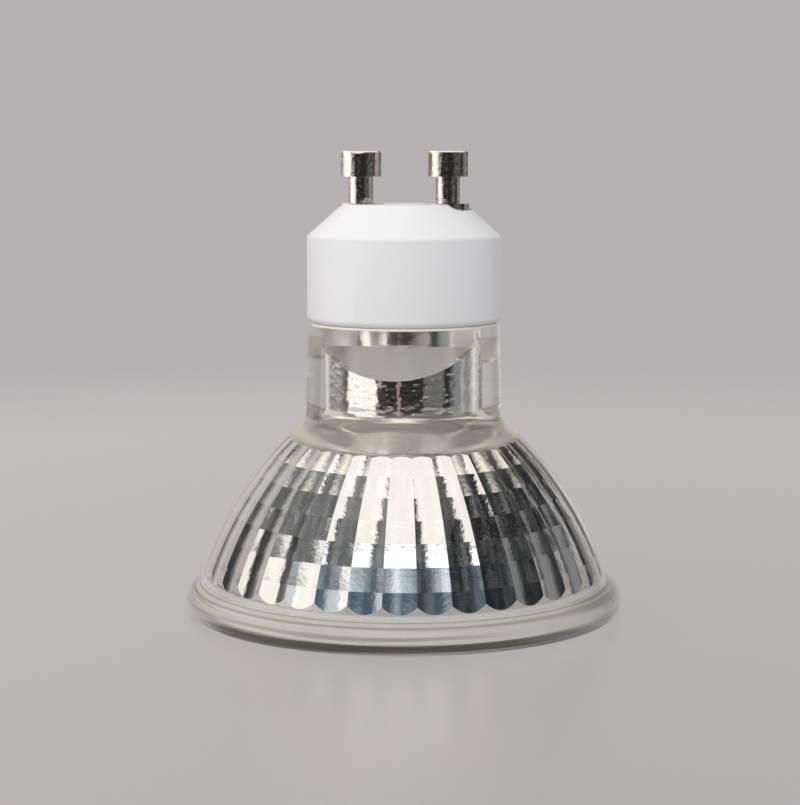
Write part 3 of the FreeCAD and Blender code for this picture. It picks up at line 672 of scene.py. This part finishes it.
def make_repeat_tree():
    tree = bpy.data.node_groups.new("repeat_round_axis", "GeometryNodeTree")
    labels = {}
    for label, kind in (("Geometry", "Geometry"), ("Count", "Int"), ("Join Distance", "Float"),
                        ("Finish", "Material"), ("Ripple", "Float"), ("Ripple From", "Float"),
                        ("Ripple To", "Float")):
        socket = tree.interface.new_socket(label, in_out="INPUT", socket_type=f"NodeSocket{kind}")
        labels[label] = socket.identifier
    tree.interface.new_socket("Geometry", in_out="OUTPUT", socket_type="NodeSocketGeometry")
    given = tree.nodes.new("NodeGroupInput").outputs
    result = tree.nodes.new("NodeGroupOutput").inputs
    link = tree.links.new

    points = tree.nodes.new("GeometryNodePoints")
    link(given["Count"], points.inputs["Count"])
    index = tree.nodes.new("GeometryNodeInputIndex").outputs[0]
    step = math_node(tree, "DIVIDE", 2 * math.pi, given["Count"])
    angles = tree.nodes.new("ShaderNodeCombineXYZ")
    link(math_node(tree, "MULTIPLY", index, step), angles.inputs["Z"])
    copies = tree.nodes.new("GeometryNodeInstanceOnPoints")
    link(points.outputs[0], copies.inputs["Points"])
    link(given["Geometry"], copies.inputs["Instance"])
    link(angles.outputs[0], copies.inputs["Rotation"])
    solid = tree.nodes.new("GeometryNodeRealizeInstances")
    link(copies.outputs[0], solid.inputs[0])
    merge = tree.nodes.new("GeometryNodeMergeByDistance")
    link(solid.outputs[0], merge.inputs["Geometry"])
    link(given["Join Distance"], merge.inputs["Distance"])

    place = tree.nodes.new("GeometryNodeInputPosition").outputs[0]
    height = split_vector(tree, place)["Z"]
    masks = []
    for limit, fade in ((given["Ripple From"], RIPPLE_FADE), (given["Ripple To"], -RIPPLE_FADE)):
        masks.append(math_node(tree, "DIVIDE", math_node(tree, "SUBTRACT", height, limit), fade))
        masks[-1].node.use_clamp = True
    noise = noise_node(tree, vector_node(tree, "MULTIPLY", place, RIPPLE_DENSITY), 1.0, 2.0)
    amount = math_node(tree, "MULTIPLY", math_node(tree, "MULTIPLY", masks[0], masks[1]),
                       math_node(tree, "MULTIPLY", noise, given["Ripple"]))
    outwards = vector_node(tree, "NORMALIZE", vector_node(tree, "MULTIPLY", place, (1, 1, 0)))
    move = tree.nodes.new("GeometryNodeSetPosition")
    link(merge.outputs[0], move.inputs["Geometry"])
    link(vector_node(tree, "SCALE", outwards, amount), move.inputs["Offset"])
    paint = tree.nodes.new("GeometryNodeSetMaterial")
    link(move.outputs[0], paint.inputs["Geometry"])
    link(given["Finish"], paint.inputs["Material"])
    link(paint.outputs[0], result[0])
    return tree, labels


def repeat_round(piece, values):
    tree, labels = make_repeat_tree()
    tool = piece.modifiers.new("repeat", "NODES")
    tool.node_group = tree
    for label, value in values.items():
        tool[labels[label]] = value
    baked(piece)


repeat_round(bowl, {"Count": FLUTES, "Join Distance": JOIN_DISTANCE, "Finish": silvering,
                    "Ripple": RIPPLE_DEPTH, "Ripple From": RIPPLE_FROM, "Ripple To": RIPPLE_TO})
bowl.name = "silvered_bowl"
face_outwards(bowl)
crease(bowl, FILM_CREASE)
finish_piece(bowl, silvering, "silvering", "mirror_coating")

# %% [markdown]
# The glass is one pressing. Its outside is turned: a rounded bead, the dome's arc, a hollow rounding and a
# slightly tapered neck. Its inside follows the silvering. Two clip notches and the slot for the burner's
# seal are cut with simple bars.

# %% Reflector glass

BAR_LENGTH = 40
BAR_REACH = 1.0


def glass_outside():
    """From the step for the front glass round the rim and up to the glass end's flat top."""
    half = BEAD_HEIGHT / 2
    sag = BEAD_CURVE - math.sqrt(BEAD_CURVE ** 2 - half ** 2)
    spread = math.degrees(math.asin(half / BEAD_CURVE))
    foot_angle = math.degrees(math.atan2(FLANGE_HEIGHT - DOME_Z, RIM_R - FLANGE_LIP - DOME_R))
    end_angle = math.degrees(math.atan2(NECK_START - DOME_Z, FILLET_RUN))
    points = [(RABBET_R, RABBET_DEPTH), (RABBET_R, RABBET_CHAMFER), (RABBET_R + RABBET_CHAMFER, 0.0),
              (RIM_R - sag - RIM_FLAT_INSET, 0.0)]
    points += arc_points((RIM_R - BEAD_CURVE, half), BEAD_CURVE, -spread, spread, 12)
    points += arc_points((DOME_R, DOME_Z), DOME_CURVE, foot_angle, end_angle, 48)
    points += arc_points((NECK_LOW_R + NECK_FILLET, NECK_START), NECK_FILLET, end_angle + 180, 180, 10)[1:]
    points += [(NECK_TOP_R, SHOULDER), (SPIGOT_R, SHOULDER), (SPIGOT_R, SPIGOT_TOP - SPIGOT_CHAMFER),
               (SPIGOT_R - SPIGOT_CHAMFER, SPIGOT_TOP), (0, SPIGOT_TOP)]
    return points


def make_glass():
    outside = glass_outside()
    sections = []
    for flute in range(FLUTES):
        for step in range(GLASS_STEPS):
            inside = bowl_column(-1 + 2 * step / GLASS_STEPS, 0.0)
            turn = inside[0][2] + HALF_FLUTE * (2 * flute + 1)
            foot_r = inside[0][0] + (COAT_END - RABBET_DEPTH) * RING_SLOPE
            section = [(foot_r, RABBET_DEPTH), *outside, (0, BORE_END)]
            section += [(r, z) for r, z, _ in inside[::-1]]
            sections.append([(r, z, turn) for r, z in section])
    return new_piece("pressed_glass", lathe_mesh("pressed_glass", sections))


def cut_notches(piece):
    flat = BORE_R + NOTCH_WALL
    outer = NECK_LOW_R + NECK_FILLET
    ramp_top = SHOULDER - NOTCH_FLAT_HEIGHT
    ramp_end = ramp_top - (outer - flat) * math.tan(NOTCH_RAMP)
    for side in (-1, 1):
        corners = [(flat * side, SHOULDER), (outer * side, SHOULDER),
                   (outer * side, ramp_end), (flat * side, ramp_top)]
        cut_away(piece, prism("notch_bar", corners, BAR_LENGTH, "x"))


def cut_seal_slot(piece):
    half = SLOT_LENGTH / 2
    low = BORE_END - BAR_REACH
    high = SPIGOT_TOP + BAR_REACH
    corners = [(-half, low), (half, low), (half, high), (-half, high)]
    cut_away(piece, prism("seal_slot", corners, SLOT_WIDTH, "y"))


glass = make_glass()
face_outwards(glass)
cut_notches(glass)
cut_seal_slot(glass)
crease(glass, GLASS_CREASE)
finish_piece(glass, pressed_glass, "clear_glass", "reflector_glass")

# %% [markdown]
# The front glass is a flat disc in the step of the rim, and a soft bead of sealant holds it there. The bead
# is sunk a little into the glass on both sides, so that no two surfaces share a place.

# %% Front glass and sealant

disc = turned("front_disc", [
    (0, DISC_LOW[2]),
    (DISC_R - DISC_CHAMFER, DISC_LOW[2]),
    (DISC_R, DISC_LOW[2] + DISC_CHAMFER),
    (DISC_R, DISC_HIGH[2]),
    (0, DISC_HIGH[2]),
])
finish_piece(disc, clear_glass, "clear_glass", "front_glass")

bead = turned("sealant_bead", [
    (DISC_R - SUNK, SEALANT_LOW),
    (RABBET_R + SUNK, SEALANT_LOW),
    (RABBET_R + SUNK, RABBET_DEPTH + SUNK),
    (DISC_R - SEALANT_LAND, RABBET_DEPTH + SUNK),
    (DISC_R - SEALANT_LAND, DISC_HIGH[2] - SUNK),
    (DISC_R - SUNK, DISC_HIGH[2] - SUNK),
])
finish_piece(bead, sealant, "sealant", "front_sealant")

# %% [markdown]
# The base is pressed ceramic with a satin skin, and the pins are turned and nickel plated. The inner parts
# are hidden by the silvering and the base, but they are finished as well. Joined copies of the frame's
# solids keep all of them true.

# %% Ceramic base, contact pins and inner parts

TRIANGLE_JOIN = 2e-7


def smooth_copy(node, name, degrees):
    """A joined copy of a node's loose triangles, shaded smooth up to the given angle."""
    piece = new_piece(name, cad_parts[node].data.copy())
    work = bmesh.new()
    work.from_mesh(piece.data)
    bmesh.ops.remove_doubles(work, verts=work.verts, dist=TRIANGLE_JOIN)
    work.to_mesh(piece.data)
    work.free()
    crease(piece, degrees)
    return piece


cup = smooth_copy("ceramic_base", "ceramic_cup", BASE_CREASE)
finish_piece(cup, porcelain, "white_ceramic", "ceramic_base")
for side in ("left", "right"):
    pin = smooth_copy(f"pin_{side}", f"contact_pin_{side}", PIN_CREASE)
    finish_piece(pin, nickel, "nickel_plate", f"pin_{side}")
for material, slot, nodes in (
        (cement, "cement", ("base_cement", "burner_cement")),
        (quartz, "quartz", ("burner_quartz", "fuse_bead")),
        (tungsten, "tungsten", ("filament",)),
        (molybdenum, "molybdenum", ("filament_leg_left", "filament_leg_right", "foil_left", "foil_right")),
        (nickel_wire, "nickel_wire", ("lead_wire_left", "lead_wire_right"))):
    for node in nodes:
        finish_piece(smooth_copy(node, f"{node}_finished", INNER_CREASE), material, slot, node)

# %% [markdown]
# A photographer lights mirrors with large soft boxes and keeps the rest of the room dark, and the object
# then shows the boxes. The room here is a world shader that answers each ray by where it has been. Rays
# that have met a mirror see the boxes, each a soft-edged window in directions. The camera, also through
# clear glass, sees an even grey, which is the backdrop. Dull surfaces get daylight, more from the left.

# %% The room


def make_window_group():
    tree, given, result = new_group(
        "soft_window",
        [("Across", "Float", None), ("Up", "Float", None),
         ("Centre Across", "Float", 0.0), ("Centre Up", "Float", 0.0),
         ("Half Width", "Float", 10.0), ("Half Height", "Float", 10.0),
         ("Softness", "Float", 2.0), ("Softness Up", "Float", 2.0),
         ("Color", "Color", (1, 1, 1, 1)), ("Strength", "Float", 1.0)],
        [("Color", "Color")])
    masks = []
    for along, centre, half, soft in (("Across", "Centre Across", "Half Width", "Softness"),
                                      ("Up", "Centre Up", "Half Height", "Softness Up")):
        offset = math_node(tree, "ABSOLUTE", math_node(tree, "SUBTRACT", given[along], given[centre]))
        inside = math_node(tree, "SUBTRACT", given[half], offset)
        masks.append(ramp_node(tree, math_node(tree, "DIVIDE", inside, given[soft]), -1.0, 1.0))
    amount = math_node(tree, "MULTIPLY", math_node(tree, "MULTIPLY", masks[0], masks[1]), given["Strength"])
    tree.links.new(vector_node(tree, "SCALE", given["Color"], amount), result["Color"])
    return tree


WINDOW = make_window_group()

# Across and up are degrees: azimuth as the camera sees it, and height above the horizon
ANGLE_WINDOWS = [
    # name, across, half, up, half, softness across, softness up, colour, strength
    ("left wall, low", -84, 32, -15, 17, 3, 4, (1.0, 0.95, 0.89), 1.08),
    ("left wall", -78, 20, 14, 15, 3, 5, (1.0, 0.955, 0.90), 1.0),
    ("left curtain", -49, 11, 14, 14, 5, 6, (0.90, 0.95, 1.0), 0.60),
    ("left dusk", -84, 42, 47, 20, 12, 8, (0.96, 0.98, 1.0), 0.11),
    ("right wall, low", 56, 20, -15, 16, 4, 4, (1.0, 0.98, 0.97), 0.13),
    ("right window", 110, 15, 4, 19, 8, 5, (0.95, 0.97, 1.0), 0.21),
    ("back right, low", 141, 23, -14, 13, 5, 4, (0.96, 0.98, 1.0), 0.25),
    ("backdrop right", 172, 22, -5, 25, 14, 10, (1.0, 0.955, 0.94), 0.56),
    ("backdrop left", -170, 42, 25, 34, 14, 8, (1.0, 0.955, 0.94), 0.55),
    ("front dusk", -6, 42, 24, 11, 20, 5, (0.35, 0.65, 1.0), 0.085),
    ("front patches", -4, 22, 37, 6, 12, 5, (0.79, 0.90, 1.0), 0.52),
    ("front patch", 3, 6, 37, 6, 6, 5, (0.95, 0.98, 1.0), 0.28),
    ("front low patches", -8, 20, 26, 5, 10, 4, (0.60, 0.80, 1.0), 0.06),
    ("front low patch", 2, 4, 29, 5, 4, 4, (0.85, 0.93, 1.0), 0.26),
    ("front, low", -9, 50, -16, 14, 4, 6, (1.0, 0.68, 0.45), 0.012),
    ("warm streak", -9, 2, -9, 6, 2, 2, (0.95, 0.66, 0.56), 0.5),
]
# Here across and up are places on the ceiling, in units of its height
CEILING_WINDOWS = [
    ("top box", 0.0, 0.575, 0.5, 0.64, 0.02, 0.05, (1.0, 0.955, 0.91), 0.93),
    ("top box, front edge", 0.0, 0.575, 1.0, 0.14, 0.02, 0.05, (0.8, 0.92, 1.0), 0.32),
    ("top box behind", 0.0, 1.0, -0.75, 0.62, 0.2, 0.2, (1.0, 0.91, 0.78), 0.95),
]
# The rest of the room is dark, with dim clutter that shows more the higher a ray goes, in degrees
ROOM_DARK = (0.013, 0.014, 0.016, 1)
ROOM_DIM = (0.185, 0.188, 0.194, 1)
ROOM_DIM_ABOVE = (5, 40)
CLUTTER_SCALE = 8.0
CLUTTER_DETAIL = 5.0
CLUTTER_ROUGHNESS = 0.65
CLUTTER_RANGE = (0.42, 0.70)
BACKDROP = (0.462, 0.440, 0.445, 1)
DAYLIGHT_LEFT = (1.05, 1.02, 1.00, 1)
DAYLIGHT_RIGHT = (0.60, 0.61, 0.62, 1)
CAMERA_TURN = math.radians(6.2)


def add_windows(tree, total, across, up, windows):
    """Adds the light of each window to a colour, and gives the sum."""
    for name, centre, half, centre_up, half_up, soft, soft_up, color, strength in windows:
        pane = group_node(tree, WINDOW, {
            "Across": across, "Centre Across": centre, "Half Width": half, "Softness": soft,
            "Up": up, "Centre Up": centre_up, "Half Height": half_up, "Softness Up": soft_up,
            "Color": (*color, 1), "Strength": strength})
        pane.label = name
        total = vector_node(tree, "ADD", total, pane.outputs[0])
    return total


def mirrored_room(tree, way):
    """What a mirror shows in a direction: windows in front of the dark room and its clutter."""
    x, y, z = split_vector(tree, way)
    front = math_node(tree, "MULTIPLY", y, -1.0)
    azimuth = math_node(tree, "DEGREES", math_node(tree, "ARCTAN2", x, front))
    height = math_node(tree, "DEGREES", math_node(tree, "ARCSINE", z))
    above = math_node(tree, "MAXIMUM", z, 0.001)
    noise = noise_node(tree, way, CLUTTER_SCALE, CLUTTER_DETAIL, CLUTTER_ROUGHNESS)
    clutter = math_node(tree, "MULTIPLY", ramp_node(tree, noise, *CLUTTER_RANGE),
                        ramp_node(tree, height, *ROOM_DIM_ABOVE, kind="LINEAR"))
    total = color_mix(tree, clutter, ROOM_DARK, ROOM_DIM)
    total = add_windows(tree, total, azimuth, height, ANGLE_WINDOWS)
    return add_windows(tree, total, math_node(tree, "DIVIDE", x, above),
                       math_node(tree, "DIVIDE", front, above), CEILING_WINDOWS)


def ray_masks(tree):
    """Two masks: rays that have met a mirror, and rays by which the camera sees the backdrop."""
    path = tree.nodes.new("ShaderNodeLightPath").outputs
    through = path["Is Transmission Ray"]
    undiffused = math_node(tree, "LESS_THAN", path["Diffuse Depth"], 0.5)
    met_mirror = math_node(tree, "GREATER_THAN", path["Glossy Depth"], 0.5)
    travelling = math_node(tree, "ADD", path["Is Glossy Ray"], through)
    mirrored = math_node(tree, "MULTIPLY", math_node(tree, "MULTIPLY", travelling, met_mirror), undiffused)
    clear = math_node(tree, "MULTIPLY", through, undiffused)
    seen = math_node(tree, "ADD", path["Is Camera Ray"], clear)
    return mirrored, seen


def make_room():
    world = bpy.data.worlds.new("room")
    bpy.context.scene.world = world
    world.use_nodes = True
    tree = world.node_tree
    tree.nodes.clear()
    place = tree.nodes.new("ShaderNodeTexCoord")
    turn = tree.nodes.new("ShaderNodeVectorRotate")
    turn.rotation_type = "Z_AXIS"
    turn.inputs["Angle"].default_value = -CAMERA_TURN
    tree.links.new(place.outputs["Generated"], turn.inputs["Vector"])
    way = turn.outputs[0]
    mirrored, seen = ray_masks(tree)
    to_right = math_node(tree, "MULTIPLY_ADD", split_vector(tree, way)["X"], 0.5, 0.5)
    daylight = color_mix(tree, to_right, DAYLIGHT_LEFT, DAYLIGHT_RIGHT)
    plain = color_mix(tree, seen, daylight, BACKDROP)
    light = tree.nodes.new("ShaderNodeBackground")
    tree.links.new(color_mix(tree, mirrored, plain, mirrored_room(tree, way)), light.inputs["Color"])
    out = tree.nodes.new("ShaderNodeOutputWorld")
    tree.links.new(light.outputs[0], out.inputs["Surface"])
    print("room:", len(ANGLE_WINDOWS) + len(CEILING_WINDOWS), "windows")


make_room()

# %% [markdown]
# The lamp is turned a little to the camera. Directions round it are given as the camera sees them: azimuth
# 0 points to the camera, and positive values are to the right of the picture.

# %% Camera

CAMERA_DISTANCE = 0.231
CAMERA_HEIGHT = 0.052
CAMERA_TILT = math.radians(6.92)
CAMERA_LENS = 89.43
AIM_OFFSET = math.radians(0.115)


def direction(azimuth, elevation):
    """Unit vector for a direction as the camera sees it, in degrees."""
    a = math.radians(azimuth) + CAMERA_TURN
    e = math.radians(elevation)
    return Vector((math.sin(a) * math.cos(e), -math.cos(a) * math.cos(e), math.sin(e)))


camera_data = bpy.data.cameras.new("camera")
camera_data.lens = CAMERA_LENS
camera_data.clip_start = 0.01
camera = bpy.data.objects.new("camera", camera_data)
camera.location = direction(0, 0) * CAMERA_DISTANCE + Vector((0, 0, CAMERA_HEIGHT))
camera.rotation_euler = (math.pi / 2 - CAMERA_TILT, 0, CAMERA_TURN + AIM_OFFSET)
bpy.context.scene.collection.objects.link(camera)
bpy.context.scene.camera = camera
print("camera:", round(CAMERA_DISTANCE / MM), "mm away,", round(CAMERA_HEIGHT / MM), "mm up")

# %% [markdown]
# The floor is a pale, slightly glossy disc. It fades out before its edge, so that no horizon shows, and
# mirrors see only the part near the lamp. It also glows faintly and evenly, which keeps it as light as the
# backdrop. The lights are large and reach only dull surfaces, because the mirrors already have the room.

# %% Floor and light

FLOOR_RADIUS = 0.4
FLOOR_FADE = (0.14, 0.30)
FLOOR_MIRRORED_FADE = (0.06, 0.14)
FLOOR_COLOR = (0.09, 0.086, 0.087)
FLOOR_GLOW = (0.305, 0.290, 0.293, 1)
LIGHTS = [
    # name, azimuth, elevation, distance, size, power, colour
    ("top_box", 0, 75, 1.0, (0.9, 0.9), 1.3, (1.0, 0.98, 0.97)),
    ("left_box", -70, 15, 0.6, (0.5, 0.4), 0.7, (1.0, 0.96, 0.92)),
    ("front_box", 5, 28, 0.6, (0.5, 0.2), 0.9, (0.97, 0.98, 1.0)),
]


def make_floor():
    floor = new_piece("floor", bpy.data.meshes.new("floor"))
    work = bmesh.new()
    bmesh.ops.create_circle(work, cap_ends=True, segments=128, radius=FLOOR_RADIUS)
    work.to_mesh(floor.data)
    work.free()
    material = new_material("pale_floor", FLOOR_COLOR, roughness=0.32)
    feed(material, "Emission Color", FLOOR_GLOW)
    feed(material, "Emission Strength", 1.0)
    tree = material.node_tree
    path = tree.nodes.new("ShaderNodeLightPath")
    length = vector_node(tree, "LENGTH", object_place(tree))
    mix = tree.nodes.new("ShaderNodeMix")
    plug(tree, mix.inputs["Factor"], math_node(tree, "GREATER_THAN", path.outputs["Glossy Depth"], 0.5))
    plug(tree, mix.inputs["A"], ramp_node(tree, length, *FLOOR_FADE, 1.0, 0.0))
    plug(tree, mix.inputs["B"], ramp_node(tree, length, *FLOOR_MIRRORED_FADE, 1.0, 0.0))
    feed(material, "Alpha", mix.outputs["Result"])
    floor.data.materials.append(material)


def add_light(name, azimuth, elevation, distance, size, power, color):
    data = bpy.data.lights.new(name, "AREA")
    data.shape = "RECTANGLE"
    data.size, data.size_y = size
    data.energy = power
    data.color = color
    light = bpy.data.objects.new(name, data)
    light.location = direction(azimuth, elevation) * distance
    light.rotation_mode = "QUATERNION"
    light.rotation_quaternion = direction(azimuth, elevation).to_track_quat("Z", "Y")
    light.visible_camera = False
    light.visible_glossy = False
    light.visible_transmission = False
    bpy.context.scene.collection.objects.link(light)
    print("light:", name)


make_floor()
for light in LIGHTS:
    add_light(*light)

cycles = bpy.context.scene.cycles
cycles.max_bounces = 24
cycles.glossy_bounces = 12
cycles.transmission_bounces = 20
cycles.transparent_max_bounces = 16
bpy.context.scene.view_settings.view_transform = "Standard"
